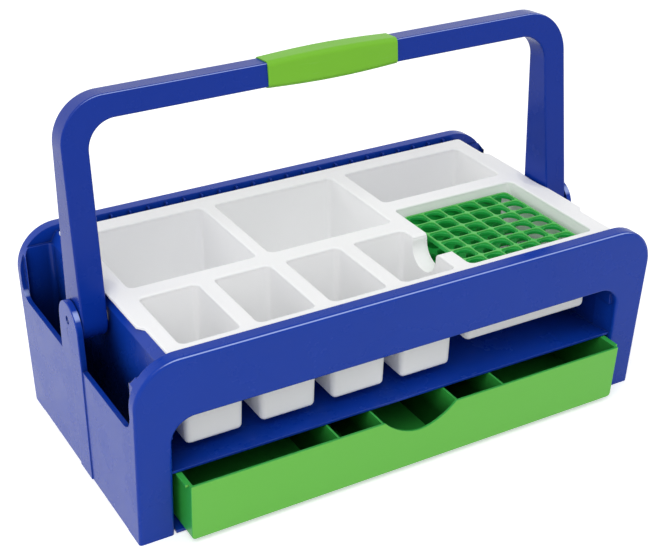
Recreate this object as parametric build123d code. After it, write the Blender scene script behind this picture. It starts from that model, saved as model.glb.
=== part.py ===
from build123d import *
import math
import os

os.makedirs("parts", exist_ok=True)

# Blood tube drawer organizer: a blue moulded carry tray with a folding bow handle,
# a white lift-out insert with eight wells, a green 6 x 6 tube rack and a green drawer.
# Millimetres, +Z up, -Y is the drawer side. Origin: centre of the body on the floor.

# ---- carry body -------------------------------------------------------------------
HALF_LEN = 205.5            # half length of the moulded body
HALF_W_BASE = 102.7         # half width at the floor
HALF_W_TOP = 113.15         # half width at the top of the panels
BODY_H = 140.3              # top of the front and back panels
CORNER_R = 32.0             # rounded upper corners of the panels
RIM_DEPTH = 10.4            # flat top of each panel, front to back
SKIN = 3.0                  # panel wall
EDGE_R = 2.2                # rounding of the panel outline
LIP_T = 2.2                 # turned-down inner lip of each panel
LIP_DROP = 14.0
FOOT_GAP = 0.8              # the wall edge stands this far off the floor
FOOT_DEPTH = 20.0           # corner feet, front to back
COLUMN = 25.0               # closed front either side of the opening
OPEN_DROP = 47.0            # panel top to the top of the window
OPEN_R = 17.0
OPEN_EDGE_R = 2.0
OPEN_LEDGE = 4.0            # depth of the opening's sides at the floor
SHELF_TOP = 51.4
SHELF_T = 1.8
SHELF_SET = 3.2             # shelf edge behind the front plane
SPLAY = 15.3                # depth over which the window jambs narrow
END_WALL_T = 3.5
LEG_ROOM = 21.5             # between the outer and the inner end wall
INNER_WALL_T = 2.6
BAY_RECESS = 1.6            # the inner end walls stand back in the drawer bay
END_DROP = 51.4             # panel top to the top of the outer end wall
END_SWEEP_R = 13.0          # sweep from the end wall up into the panels
POCKET_DEPTH = 51.0
POCKET_SET = 2.25           # pocket end behind the lip
POCKET_R = 4.0
CREST_DROP = 10.0           # insert rim down to the bevel on the inner end walls
RIB_PITCH = 14.78           # locating ribs on the inner lip of the back panel
RIB_COUNT = 23
RIB_W = 1.4
RIB_DEPTH = 3.2
JOIN = 0.5                  # overlap of one body's parts where they are joined

SLOPE = (HALF_W_TOP - HALF_W_BASE) / BODY_H
LIP_IN = HALF_W_TOP - RIM_DEPTH
OPEN_HALF = HALF_LEN - COLUMN
OPEN_TOP = BODY_H - OPEN_DROP
SHELF_FRONT = HALF_W_BASE + SLOPE * SHELF_TOP - SHELF_SET
END_WALL_IN = HALF_LEN - END_WALL_T
INNER_WALL_OUT = END_WALL_IN - LEG_ROOM
INNER_WALL_IN = INNER_WALL_OUT - INNER_WALL_T
END_WALL_TOP = BODY_H - END_DROP
POCKET_FLOOR = END_WALL_TOP - POCKET_DEPTH
POCKET_HALF = LIP_IN - POCKET_SET
BAY_HALF = INNER_WALL_IN + BAY_RECESS
PAST = HALF_LEN             # cutters reach at least this far past the part

# ---- pivot ears ----------------------------------------------------------------------
PIVOT_DROP = 20.3           # panel top to the pivot
EAR_R = 17.5
EAR_BELOW = 4.0             # centre of the ear's arc below the pivot
EAR_HALF = 19.0
EAR_STAND = 0.8             # the ear stands proud of the end wall
EAR_EDGE_R = 0.7
EAR_TUCK = 0.2              # straight flanks meet the ear's arc just inside it
SEAM_Y = 3.2                # groove from the pin down to the floor
SEAM_W = 0.7
SEAM_DEPTH = 0.6
SEAM_BELOW = 7.0
PIN_R = 3.0
PIN_END_R = 3.0
PIN_FIT = 0.06              # radial running clearance
PIN_HEAD_R = 5.0
PIN_HEAD_T = 1.2
PIN_SET = 0.6               # pin end behind the ear's face
WASHER_T = 1.2
WASHER_R = 8.0
WASHER_FIT = 0.1

PIVOT_Z = BODY_H - PIVOT_DROP
EAR_CZ = PIVOT_Z - EAR_BELOW
EAR_OUT = HALF_LEN + EAR_STAND

# ---- folding bow handle --------------------------------------------------------------
LEG_GAP_OUT = 0.7           # leg to outer end wall
LEG_GAP_IN = 1.2            # leg to washer
LEG_TAPER = math.tan(math.radians(1.0))
BOW_R = 152.3               # pivot to the top of the bar
BAR_H = 16.6
BOW_HALF_LOW = 15.0         # half depth at the pivot
BOW_HALF_TOP = 7.9          # half depth at the bar
BOW_CORNER_OUT = 32.0
BOW_CORNER_IN = 20.0
BOW_EDGE_R = 1.3
BOW_LEAN = 3.9              # the bow leans back by this many degrees at rest
GRIP_HALF = 51.0
GRIP_SKIN = 1.15
GRIP_SWELL = 1.5
GRIP_R = 3.6

LEG_OUT = END_WALL_IN - LEG_GAP_OUT
LEG_IN = INNER_WALL_OUT + WASHER_T + LEG_GAP_IN

# ---- lift-out insert ----------------------------------------------------------------
RIM_DROP = 2.6              # insert rim below the panel top
RIM_T = 2.2
TAB_GAP = 0.4               # tab end to the end of the inner wall
TAB_REACH = 4.1             # tab past the rest of the rim
TAB_HALF_Y = 58.2
TAB_SLANT = 5.4
SEAT_REACH = 4.3            # ledge under the rim, out from the inner wall
RIM_GAP_FRONT = 1.75        # rim to lip
RIM_GAP_BACK = 1.95         # rim to ribs
RIM_CORNER_R = 3.0
RIM_EDGE_R = 0.7
MOUTH_R = 1.1
WELL_WALL = 1.8
WELL_DRAFT = 2.0
WELL_R = 4.8
WELL_FOOT_R = 1.8
CUP_LIFT = 8.2              # shelf to the underside of the wells
RACK_WELL_LIFT = 22.6
MARGIN_LEFT = 11.0          # rim edge to the first well
MARGIN_RIGHT = 13.0
MARGIN_FRONT = 7.6
MARGIN_BACK = 15.3
CUP_COUNT = 4
CUP_WALL = 12.0             # between the mouths of two cups
BACK_WALL = 10.0            # between the mouths of the two long back wells
BACK_SHARE = 0.488          # part of their run up to the middle of that wall
CUP_BACK = -25.0
BACK_ROW = -10.0
BACK_GAP = 14.3             # rack well mouth to the back right well
NOTCH_IN = 39.9             # well front to the saddle between last cup and rack well
NOTCH_HALF = 15.0
NOTCH_DEPTH = 20.2
NOTCH_FOOT_R = 13.9
SHOULDER_R = 4.0
SADDLE_T = 2.5
SADDLE_SIDE = 10.0
DIP_START = 10.0            # finger dip in each short end
DIP_DEPTH = 1.5
DIP_R = 150.0

RIM_TOP = BODY_H - RIM_DROP
RIM_LOW = RIM_TOP - RIM_T
TAB_HALF = INNER_WALL_OUT - TAB_GAP
RIM_HALF = TAB_HALF - TAB_REACH
RIM_FRONT = -LIP_IN + RIM_GAP_FRONT
RIM_BACK = LIP_IN - RIB_DEPTH - RIM_GAP_BACK
CUP_BOTTOM = SHELF_TOP + CUP_LIFT

# ---- tube rack -----------------------------------------------------------------------
RACK_N = 6
RACK_PITCH = 15.6
RACK_HOLE_R = 7.0
RACK_MID_HOLE_R = 6.8
RACK_DRAIN_R = 3.0
RACK_SIZE = 95.0
RACK_SIDE = 6.35            # rack to well mouth, left and right
RACK_END = 2.5              # rack to well mouth, front and back
RACK_SET = 6.9              # rack top below the insert rim
RACK_STEP = 24.8            # rack top to the top of the middle plate
RACK_PLATE_T = 2.4
RACK_RIDGE_W = 1.0
RACK_RIDGE_H = 1.4
RACK_CELL_R = 3.0
RACK_CORNER_R = 4.0
RACK_WALL_T = 1.0
RACK_FOOT_R = 2.0

RACK_MID_Z = RIM_TOP - RACK_SET - RACK_STEP
RACK_TOP = RIM_TOP - RACK_SET
RACK_TOP_LOW = RACK_TOP - RACK_RIDGE_H - RACK_PLATE_T
RACK_WELL_BOTTOM = SHELF_TOP + RACK_WELL_LIFT
RACK_LOW = RACK_WELL_BOTTOM + WELL_WALL

# x0, x1, y0, y1 of each opening at the rim, and the underside height of the well
WELL_LEFT = -RIM_HALF + MARGIN_LEFT
WELL_RIGHT = RIM_HALF - MARGIN_RIGHT
WELL_FRONT = RIM_FRONT + MARGIN_FRONT
WELL_BACK = RIM_BACK - MARGIN_BACK
RACK_WELL_X = WELL_RIGHT - RACK_SIZE - 2 * RACK_SIDE
RACK_WELL_Y = WELL_FRONT + RACK_SIZE + 2 * RACK_END
RACK_X = (RACK_WELL_X + WELL_RIGHT) / 2
RACK_Y = (WELL_FRONT + RACK_WELL_Y) / 2
CUP_PITCH = (RACK_WELL_X - WELL_LEFT) / CUP_COUNT
BACK_RUN = RACK_WELL_X - CUP_WALL - WELL_LEFT
BACK_SPLIT = WELL_LEFT + BACK_SHARE * BACK_RUN
CUPS = [(WELL_LEFT + k * CUP_PITCH, WELL_LEFT + (k + 1) * CUP_PITCH - CUP_WALL,
         WELL_FRONT, CUP_BACK, CUP_BOTTOM) for k in range(CUP_COUNT)]
WELLS = CUPS + [
    (RACK_WELL_X, WELL_RIGHT, WELL_FRONT, RACK_WELL_Y, RACK_WELL_BOTTOM),
    (WELL_LEFT, BACK_SPLIT - BACK_WALL / 2, BACK_ROW, WELL_BACK, CUP_BOTTOM),
    (BACK_SPLIT + BACK_WALL / 2, RACK_WELL_X - CUP_WALL, BACK_ROW, WELL_BACK, CUP_BOTTOM),
    (RACK_WELL_X, WELL_RIGHT, RACK_WELL_Y + BACK_GAP, WELL_BACK, CUP_BOTTOM),
]
LAST_CUP = CUP_COUNT - 1
RACK_WELL = CUP_COUNT

# ---- drawer --------------------------------------------------------------------------
DRAWER_OUT = 15.5           # the drawer stands open by this much
DRAWER_STOP = 7.6           # shut drawer to the back panel
DRAWER_SIDE = 2.9           # drawer to inner wall
DRAWER_LIFT = 1.2           # drawer floor over the base plate
DRAWER_HEAD = 0.7           # drawer top under the shelf
DRAWER_WALL = 1.8
DRAWER_EDGE_R = 0.5
DRAWER_FOOT_R = 3.0
DRAWER_IN_R = 1.0
FLANGE_GAP = 0.6            # flange edge to the inner wall
FLANGE_T = 1.6
FLANGE_SET = 4.0            # flange end behind the front
SCOOP_HALF = 29.3
SCOOP_DEPTH = 15.0
SCOOP_BEND = 0.62           # place of the bend of the scoop, of its width and depth
DIVIDER_X = [-65.0, -30.4, 30.3, 70.5]
DIVIDER_T = 1.6
DIVIDER_GROOVE = 0.5
DIVIDER_SET = 1.5           # groove end to the wall
DIVIDER_HEAD = 0.3
RUNNER_GAP = 0.3            # runner under flange
RUNNER_T = 2.6
RUNNER_SIDE = 0.6           # drawer side to runner
RUNNER_BRACE = 3.0
RUNNER_SET = 8.0            # runner end behind the front plane
BASE_T = 2.2
BASE_GAP = 0.3
BASE_EAR_HALF = 84.0        # side ears of the base plate, where the screws go
SCREW_IN = 10.0             # screw to the end wall and to the ear's end
SCREW_R = 1.5
SCREW_FIT = 0.1
SCREW_LEN = 10.4
SCREW_HEAD_R = 3.2
SCREW_HEAD_T = 0.7
SCREW_SLOT = 0.8
BOSS_R = 4.2
BORE_DEPTH = 12.0

BASE_TOP = FOOT_GAP + BASE_T
DRAWER_HALF = INNER_WALL_IN - DRAWER_SIDE
DRAWER_BOTTOM = BASE_TOP + DRAWER_LIFT
DRAWER_TOP = SHELF_TOP - SHELF_T - DRAWER_HEAD
DRAWER_FRONT = -(HALF_W_BASE + SLOPE * DRAWER_TOP) - DRAWER_OUT
DRAWER_BACK = HALF_W_BASE - SKIN - DRAWER_STOP - DRAWER_OUT
FLANGE_HALF = INNER_WALL_IN - FLANGE_GAP
RUNNER_TOP = DRAWER_TOP - FLANGE_T - RUNNER_GAP
SCREW_X = END_WALL_IN - SCREW_IN
SCREW_Y = BASE_EAR_HALF - SCREW_IN - BOSS_R
SCREW_SPOTS = [(x, y) for x in (-SCREW_X, SCREW_X) for y in (-SCREW_Y, 0.0, SCREW_Y)]


def half_width(z):
    """Half width of the sloping outer panels at height z."""
    return HALF_W_BASE + SLOPE * z


def block(x0, x1, y0, y1, z0, z1):
    return Pos((x0 + x1) / 2, (y0 + y1) / 2, (z0 + z1) / 2) * Box(x1 - x0, y1 - y0, z1 - z0)


def to_side(shape, side):
    """The shape itself for the right side, its mirror image for the left."""
    return shape if side > 0 else mirror(shape, Plane.YZ)


def prism_x(points, x0, x1):
    """Polygon given as (y, z) pairs, run along X."""
    face = make_face(Polyline([(x0, y, z) for y, z in points], close=True))
    return extrude(face, amount=x1 - x0, dir=(1, 0, 0))


def prism_y(points, y0, y1):
    """Polygon given as (x, z) pairs, run along Y."""
    face = make_face(Polyline([(x, y0, z) for x, z in points], close=True))
    return extrude(face, amount=y1 - y0, dir=(0, 1, 0))


def prism_z(points, z0, z1):
    """Polygon given as (x, y) pairs, run along Z."""
    face = make_face(Polyline([(x, y, z0) for x, y in points], close=True))
    return extrude(face, amount=z1 - z0, dir=(0, 0, 1))


def rod_x(radius, x0, x1, y, z):
    return Pos((x0 + x1) / 2, y, z) * (Rot(0, 90, 0) * Cylinder(radius, x1 - x0))


def edges_along(shape, axis):
    """Straight edges that run along one axis, as a list."""
    return [e for e in shape.edges().filter_by(axis)]


def outline_xz(half, top, radius, y0, y1, low):
    """Slab with rounded upper corners, run along Y."""
    height = top - low + 2 * radius
    solid = extrude(Plane.XZ * RectangleRounded(2 * half, height, radius),
                    amount=(y1 - y0) / 2, both=True)
    solid = Pos(0, (y0 + y1) / 2, top - height / 2) * solid
    return solid & block(-half - 1, half + 1, y0 - 1, y1 + 1, low, top + 1)


def on_panel(edge):
    """True for an edge that lies in the front or back outer face."""
    spots = [edge.position_at(t) for t in (0.0, 0.5, 1.0)]
    return all(abs(abs(p.Y) - half_width(p.Z)) < 0.05 for p in spots)


def make_outer_block():
    sides = [(-HALF_W_BASE, 0), (HALF_W_BASE, 0), (HALF_W_TOP, BODY_H), (-HALF_W_TOP, BODY_H)]
    body = prism_x(sides, -HALF_LEN, HALF_LEN)
    body = body & outline_xz(HALF_LEN, BODY_H, CORNER_R, -PAST, PAST, -1)
    rim = [e for e in body.edges() if on_panel(e) and e.bounding_box().max.Z > 1]
    return fillet(rim, EDGE_R)


def cut_front_opening(body):
    """Window over the shelf and mouth of the drawer bay, with soft front edges."""
    body = body - outline_xz(OPEN_HALF, OPEN_TOP, OPEN_R, -PAST, -SHELF_FRONT, -1)
    body = body - block(-OPEN_HALF, OPEN_HALF, -PAST, -HALF_W_BASE + OPEN_LEDGE,
                        -1, SHELF_TOP - SHELF_T)
    front = [e for e in body.edges()
             if on_panel(e) and e.position_at(0.5).Y < 0 and e.bounding_box().max.Z > SHELF_TOP
             and abs(e.position_at(0.5).X) < OPEN_HALF + 0.01
             and e.bounding_box().max.Z < OPEN_TOP + 0.01]
    return fillet(front, OPEN_EDGE_R)


def make_well_cut():
    """Open space inside the body, with the folded lip left along each panel."""
    low = SHELF_TOP
    lip_out = LIP_IN + LIP_T
    half = [
        (0, low), (half_width(low) - SKIN, low),
        (half_width(BODY_H - SKIN) - SKIN, BODY_H - SKIN),
        (lip_out, BODY_H - SKIN), (lip_out, BODY_H - LIP_DROP),
        (LIP_IN, BODY_H - LIP_DROP), (LIP_IN, BODY_H + 1), (0, BODY_H + 1),
    ]
    other = [(-y, z) for y, z in reversed(half)][1:-1]
    return prism_x(half + other, -INNER_WALL_IN, INNER_WALL_IN)


def make_bay_cut():
    """Drawer bay below the shelf."""
    top = SHELF_TOP - SHELF_T
    lo, hi = half_width(-1) - SKIN, half_width(top) - SKIN
    return prism_x([(-lo, -1), (lo, -1), (hi, top), (-hi, top)], -BAY_HALF, BAY_HALF)


def make_jamb_cut():
    """The window narrows from its front edge to the inner end walls."""
    back = -SHELF_FRONT + SPLAY
    plan = [(-OPEN_HALF, -SHELF_FRONT - 1), (OPEN_HALF, -SHELF_FRONT - 1),
            (OPEN_HALF, -SHELF_FRONT), (INNER_WALL_IN, back), (-INNER_WALL_IN, back),
            (-OPEN_HALF, -SHELF_FRONT)]
    return prism_z(plan, SHELF_TOP, OPEN_TOP - OPEN_R)


def make_end_cuts(side):
    """Pocket for the handle leg, the low end wall above it and the hollow below."""
    width = END_WALL_IN - INNER_WALL_OUT
    mid = (END_WALL_IN + INNER_WALL_OUT) / 2
    pocket = extrude(RectangleRounded(width, 2 * POCKET_HALF, POCKET_R), amount=PAST)
    pocket = Pos(mid, 0, POCKET_FLOOR) * pocket
    tall = 2 * (BODY_H - END_WALL_TOP)
    sweep = extrude(Plane.YZ * RectangleRounded(2 * LIP_IN, tall, END_SWEEP_R),
                    amount=END_WALL_T, both=True)
    sweep = Pos(HALF_LEN, 0, END_WALL_TOP + tall / 2) * sweep
    under = block(BAY_HALF + SKIN, END_WALL_IN, -half_width(0) + 2 * SKIN,
                  half_width(0) - 2 * SKIN, -1, POCKET_FLOOR - SKIN)
    return [to_side(cut, side) for cut in (pocket, sweep, under)]


def make_ear(side):
    """Pivot ear and the raised strip that runs down from it to the floor."""
    lower = prism_x([(-EAR_HALF, FOOT_GAP), (EAR_HALF, FOOT_GAP), (EAR_HALF, END_WALL_TOP),
                     (EAR_R - EAR_TUCK, EAR_CZ), (-EAR_R + EAR_TUCK, EAR_CZ), (-EAR_HALF, END_WALL_TOP)],
                    END_WALL_IN, EAR_OUT)
    ear = lower + rod_x(EAR_R, END_WALL_IN, EAR_OUT, 0, EAR_CZ)
    edges = []
    for edge in ear.edges():
        box = edge.bounding_box()
        if box.size.X < 0.01 and box.max.X > EAR_OUT - 0.01 and box.max.Z > FOOT_GAP + 1:
            edges.append(edge)
    ear = fillet(edges, EAR_EDGE_R)
    # behind the seam the face runs down into the end wall
    fade = prism_y([(EAR_OUT, EAR_CZ), (HALF_LEN, END_WALL_TOP - EAR_R), (HALF_LEN, 0),
                    (EAR_OUT + 1, 0), (EAR_OUT + 1, EAR_CZ)], SEAM_Y, EAR_HALF + 1)
    ear = ear - fade
    ear = ear - block(EAR_OUT - SEAM_DEPTH, EAR_OUT + 1, SEAM_Y - SEAM_W, SEAM_Y,
                      0, PIVOT_Z - SEAM_BELOW)
    ear = ear - rod_x(PIN_END_R + PIN_FIT, END_WALL_IN - 1, EAR_OUT + 1, 0, PIVOT_Z)
    return to_side(ear, side)


def make_wall_crest(side):
    """Top of an inner end wall: ledge under the insert rim, bevel towards the leg."""
    bevel = RIM_TOP - CREST_DROP
    crest = prism_y([(INNER_WALL_IN - SEAT_REACH, RIM_LOW), (RIM_HALF, RIM_LOW),
                     (INNER_WALL_OUT, bevel), (INNER_WALL_OUT, bevel - JOIN),
                     (INNER_WALL_IN, bevel - JOIN),
                     (INNER_WALL_IN - SEAT_REACH, RIM_LOW - RIM_T)],
                    -LIP_IN - JOIN, LIP_IN + JOIN)
    return to_side(crest, side)


def make_bosses():
    """Posts over the base plate that take its screws."""
    bosses = []
    for x, y in SCREW_SPOTS:
        height = POCKET_FLOOR - SKIN / 2 - BASE_TOP
        bosses.append(Pos(x, y, BASE_TOP + height / 2) * Cylinder(BOSS_R, height))
    return bosses


def make_body_shell():
    body = cut_front_opening(make_outer_block())
    body = body - make_well_cut()
    body = body - make_bay_cut()
    body = body - make_jamb_cut()
    # seat of the base plate under the inner end walls
    body = body - block(-END_WALL_IN, END_WALL_IN, -BASE_EAR_HALF - BASE_GAP,
                        BASE_EAR_HALF + BASE_GAP, -1, BASE_TOP)
    for side in (-1, 1):
        for cut in make_end_cuts(side):
            body = body - cut
    body = body - block(-END_WALL_IN, END_WALL_IN, -LIP_IN, LIP_IN,
                        RIM_TOP - CREST_DROP, BODY_H + 1)
    for side in (-1, 1):
        body = body + make_ear(side)
        body = body + make_wall_crest(side)
        bore = rod_x(PIN_R + PIN_FIT, INNER_WALL_IN - SEAT_REACH - 1, INNER_WALL_OUT + 1,
                     0, PIVOT_Z)
        body = body - to_side(bore, side)
    for k in range(RIB_COUNT):
        x = RIB_PITCH * (k - (RIB_COUNT - 1) / 2)
        body = body + block(x - RIB_W / 2, x + RIB_W / 2, LIP_IN - RIB_DEPTH, LIP_IN + JOIN,
                            BODY_H - LIP_DROP + 1, RIM_TOP + 1)
    # wall edges stand clear of the floor between the corner feet
    body = body - block(-OPEN_HALF, OPEN_HALF, -PAST, PAST, -1, FOOT_GAP)
    body = body - block(-HALF_LEN - 1, HALF_LEN + 1, -HALF_W_BASE + FOOT_DEPTH,
                        HALF_W_BASE - FOOT_DEPTH, -1, FOOT_GAP)
    body = body + make_bosses()
    bores = [Pos(x, y, BASE_TOP) * Cylinder(SCREW_R, 2 * BORE_DEPTH) for x, y in SCREW_SPOTS]
    return body - bores


def make_base_plate():
    """Flat bottom cover under the drawer, screwed to the body."""
    reach = BAY_HALF - BASE_GAP
    plate = block(-reach, reach, -HALF_W_BASE, half_width(FOOT_GAP) - SKIN - BASE_GAP,
                  FOOT_GAP, BASE_TOP)
    for side in (-1, 1):
        ear = block(reach - 1, END_WALL_IN - BASE_GAP, -BASE_EAR_HALF, BASE_EAR_HALF,
                    FOOT_GAP, BASE_TOP)
        plate = plate + to_side(ear, side)
    return plate - [Pos(x, y, 0) * Cylinder(SCREW_R + SCREW_FIT, PAST) for x, y in SCREW_SPOTS]


def make_base_screws():
    screws = []
    for x, y in SCREW_SPOTS:
        head = Pos(x, y, FOOT_GAP - SCREW_HEAD_T / 2) * Cylinder(SCREW_HEAD_R, SCREW_HEAD_T)
        head = head - Pos(x, y, FOOT_GAP - SCREW_HEAD_T) * Box(
            SCREW_HEAD_R, SCREW_SLOT, SCREW_HEAD_T)
        shank = Pos(x, y, FOOT_GAP + SCREW_LEN / 2) * Cylinder(SCREW_R - SCREW_FIT, SCREW_LEN)
        screws.append(head + shank)
    return Compound(children=screws)


def make_pivot_pin(side):
    """Pin with its head on the inner wall and a plain end in the ear."""
    head = rod_x(PIN_HEAD_R, INNER_WALL_IN - PIN_HEAD_T, INNER_WALL_IN, 0, PIVOT_Z)
    shank = rod_x(PIN_R, INNER_WALL_IN - PIN_HEAD_T / 2, EAR_OUT - PIN_SET, 0, PIVOT_Z)
    return to_side(head + shank, side)


def make_pivot_washer(side):
    ring = rod_x(WASHER_R, INNER_WALL_OUT, INNER_WALL_OUT + WASHER_T, 0, PIVOT_Z)
    ring = ring - rod_x(PIN_R + WASHER_FIT, INNER_WALL_OUT - 1, INNER_WALL_OUT + WASHER_T + 1,
                        0, PIVOT_Z)
    return to_side(ring, side)


def bow_outline(foot, low, high, radius):
    """Upright slab that narrows with height, with two rounded upper corners."""
    near, far = foot - LEG_TAPER * low, foot - LEG_TAPER * high
    solid = prism_y([(-near, low), (near, low), (far, high), (-far, high)],
                    -2 * BOW_HALF_LOW, 2 * BOW_HALF_LOW)
    corners = [e for e in edges_along(solid, Axis.Y) if e.bounding_box().min.Z > high - 1]
    return fillet(corners, radius)


def make_bow_raw():
    """Bow before its edges are rounded, upright, with the pivot at the origin."""
    low = -BOW_HALF_LOW
    outer = bow_outline(LEG_OUT, low, BOW_R, BOW_CORNER_OUT)
    hole = bow_outline(LEG_IN, low - 1, BOW_R - BAR_H, BOW_CORNER_IN)
    side = prism_x([(-BOW_HALF_LOW, 0), (BOW_HALF_LOW, 0), (BOW_HALF_TOP, BOW_R + 1),
                    (-BOW_HALF_TOP, BOW_R + 1)], -HALF_LEN, HALF_LEN)
    side = side + rod_x(BOW_HALF_LOW, -HALF_LEN, HALF_LEN, 0, 0)
    return (outer - hole) & side


def place_bow(shape):
    return Pos(0, 0, PIVOT_Z) * (Rot(-BOW_LEAN, 0, 0) * shape)


def make_handle_bow(raw):
    across = edges_along(raw, Axis.Y)
    edges = [e for e in raw.edges() if e.bounding_box().max.Z > 2.0 and e not in across]
    bow = fillet(edges, BOW_EDGE_R)
    for side in (-1, 1):
        bow = bow - to_side(rod_x(PIN_R + PIN_FIT, LEG_IN - 1, LEG_OUT + 1, 0, 0), side)
    return place_bow(bow)


def make_handle_grip(raw):
    """Soft sleeve round the bar, slightly fuller in the middle."""
    mid_r = BOW_R - BAR_H / 2
    half_d = BOW_HALF_LOW + (BOW_HALF_TOP - BOW_HALF_LOW) * mid_r / (BOW_R + 1)
    sections = []
    for share, swell in ((-1.0, 0.0), (-0.5, 0.72), (0.0, 1.0), (0.5, 0.72), (1.0, 0.0)):
        wide = 2 * (half_d + GRIP_SKIN) + swell * GRIP_SWELL
        tall = BAR_H + 2 * GRIP_SKIN + 2 * swell * GRIP_SWELL
        plane = Plane(origin=(share * GRIP_HALF, 0, mid_r), x_dir=(0, 1, 0), z_dir=(1, 0, 0))
        sections.append(plane * RectangleRounded(wide, tall, GRIP_R))
    return place_bow(loft(sections) - raw)


def drafted_tub(spot, bottom, top, grow, foot):
    """Tapered tub below a height: drafted inwards, with a rounded foot."""
    x0, x1, y0, y1 = spot[:4]
    plan = RectangleRounded(x1 - x0 + 2 * grow, y1 - y0 + 2 * grow, WELL_R + grow)
    plane = Plane(origin=((x0 + x1) / 2, (y0 + y1) / 2, top), z_dir=(0, 0, -1), x_dir=(1, 0, 0))
    solid = extrude(plane * plan, amount=top - bottom, taper=WELL_DRAFT)
    edges = [e for e in solid.edges() if e.bounding_box().max.Z < bottom + 0.01]
    return fillet(edges, foot)


def tub_inside(spot):
    return drafted_tub(spot, spot[4] + WELL_WALL, RIM_TOP, 0.0, WELL_FOOT_R)


def tub_outside(spot):
    return drafted_tub(spot, spot[4], RIM_LOW, WELL_WALL, WELL_FOOT_R + WELL_WALL)


def make_notch_cut():
    """Finger notch through the wall between the last cup and the rack well."""
    mid = WELL_FRONT + NOTCH_IN
    low, top = RIM_TOP - NOTCH_DEPTH, RIM_TOP
    wide = NOTCH_HALF + 2 * SHOULDER_R
    cut = prism_x([(mid - wide, top + 1), (mid - wide, top), (mid - NOTCH_HALF, top),
                   (mid - NOTCH_HALF, low), (mid + NOTCH_HALF, low), (mid + NOTCH_HALF, top),
                   (mid + wide, top), (mid + wide, top + 1)],
                  CUPS[LAST_CUP][1] - 2 * WELL_R, RACK_WELL_X + 2 * WELL_R)
    for height, radius in ((low, NOTCH_FOOT_R), (top, SHOULDER_R)):
        turns = [e for e in edges_along(cut, Axis.X)
                 if abs(abs(e.position_at(0.5).Y - mid) - NOTCH_HALF) < 0.01
                 and abs(e.position_at(0.5).Z - height) < 0.01]
        cut = fillet(turns, radius)
    return cut


def make_insert_rim(notch):
    """Rim plate of the insert with the mouths of all its wells."""
    rim = block(-RIM_HALF, RIM_HALF, RIM_FRONT, RIM_BACK, RIM_LOW, RIM_TOP)
    rim = fillet(edges_along(rim, Axis.Z), RIM_CORNER_R)
    slant = TAB_HALF_Y + TAB_SLANT
    tab = prism_z([(-RIM_HALF, -slant), (RIM_HALF, -slant), (TAB_HALF, -TAB_HALF_Y),
                   (TAB_HALF, TAB_HALF_Y), (RIM_HALF, slant), (-RIM_HALF, slant),
                   (-TAB_HALF, TAB_HALF_Y), (-TAB_HALF, -TAB_HALF_Y)], RIM_LOW, RIM_TOP)
    rim = rim + tab
    rim = fillet([e for e in rim.edges() if e.bounding_box().min.Z > RIM_TOP - 0.01], RIM_EDGE_R)
    for spot in WELLS:
        rim = rim - tub_inside(spot)
    mouths = []
    for edge in rim.edges():
        centre = edge.position_at(0.5)
        if (edge.bounding_box().min.Z > RIM_TOP - 0.01
                and WELL_LEFT - 1 < centre.X < WELL_RIGHT + 1
                and WELL_FRONT - 1 < centre.Y < WELL_BACK + 1):
            mouths.append(edge)
    rim = fillet(mouths, MOUTH_R) - notch
    # shallow dip in the middle of each short end, where the fingers go in
    tilt = math.degrees(math.atan(DIP_DEPTH / DIP_START))
    for side in (-1, 1):
        scoop = Pos(side * DIP_START, 0, DIP_R) * (Rot(0, 90, 0) * Cylinder(DIP_R, 3 * DIP_START))
        rim = rim - Pos(side * (TAB_HALF - DIP_START), 0, RIM_TOP) * (
            Rot(0, side * tilt, 0) * scoop)
    return rim


def make_insert_well(number, notch):
    """Well below the rim. The last cup also carries the saddle beside the rack well."""
    spot = WELLS[number]
    well = tub_outside(spot)
    if number == LAST_CUP:
        mid = WELL_FRONT + NOTCH_IN
        side = NOTCH_HALF + SADDLE_SIDE
        saddle = block(spot[1], RACK_WELL_X, mid - side, mid + side,
                       RIM_TOP - NOTCH_DEPTH - SADDLE_T, RIM_LOW)
        well = well + (saddle - tub_outside(WELLS[RACK_WELL]))
    well = well - tub_inside(spot)
    return well - notch if number in (LAST_CUP, RACK_WELL) else well


def rack_centres():
    first = -(RACK_N - 1) / 2 * RACK_PITCH
    return [(RACK_X + first + i * RACK_PITCH, RACK_Y + first + j * RACK_PITCH)
            for i in range(RACK_N) for j in range(RACK_N)]


def rack_plate(z0, thick, hole_r, size_x, size_y):
    plan = RectangleRounded(size_x, size_y, RACK_CORNER_R)
    plate = Pos(RACK_X, RACK_Y, z0) * extrude(plan, amount=thick)
    holes = [Pos(x, y, z0 + thick / 2) * Cylinder(hole_r, thick + 2) for x, y in rack_centres()]
    return plate - holes


def make_rack_top():
    """Top tier: round holes under a lattice of thin ridges."""
    thick = RACK_PLATE_T + RACK_RIDGE_H
    plate = rack_plate(RACK_TOP_LOW, thick, RACK_HOLE_R, RACK_SIZE, RACK_SIZE)
    cell = RectangleRounded(RACK_PITCH - RACK_RIDGE_W, RACK_PITCH - RACK_RIDGE_W, RACK_CELL_R)
    cell = extrude(cell, amount=RACK_RIDGE_H + 1)
    low = RACK_TOP - RACK_RIDGE_H
    return plate - [Pos(x, y, low) * cell for x, y in rack_centres()]


def make_rack_middle():
    return rack_plate(RACK_MID_Z - RACK_PLATE_T, RACK_PLATE_T, RACK_MID_HOLE_R,
                      RACK_SIZE - RACK_WALL_T, RACK_SIZE - 2 * RACK_WALL_T)


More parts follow.
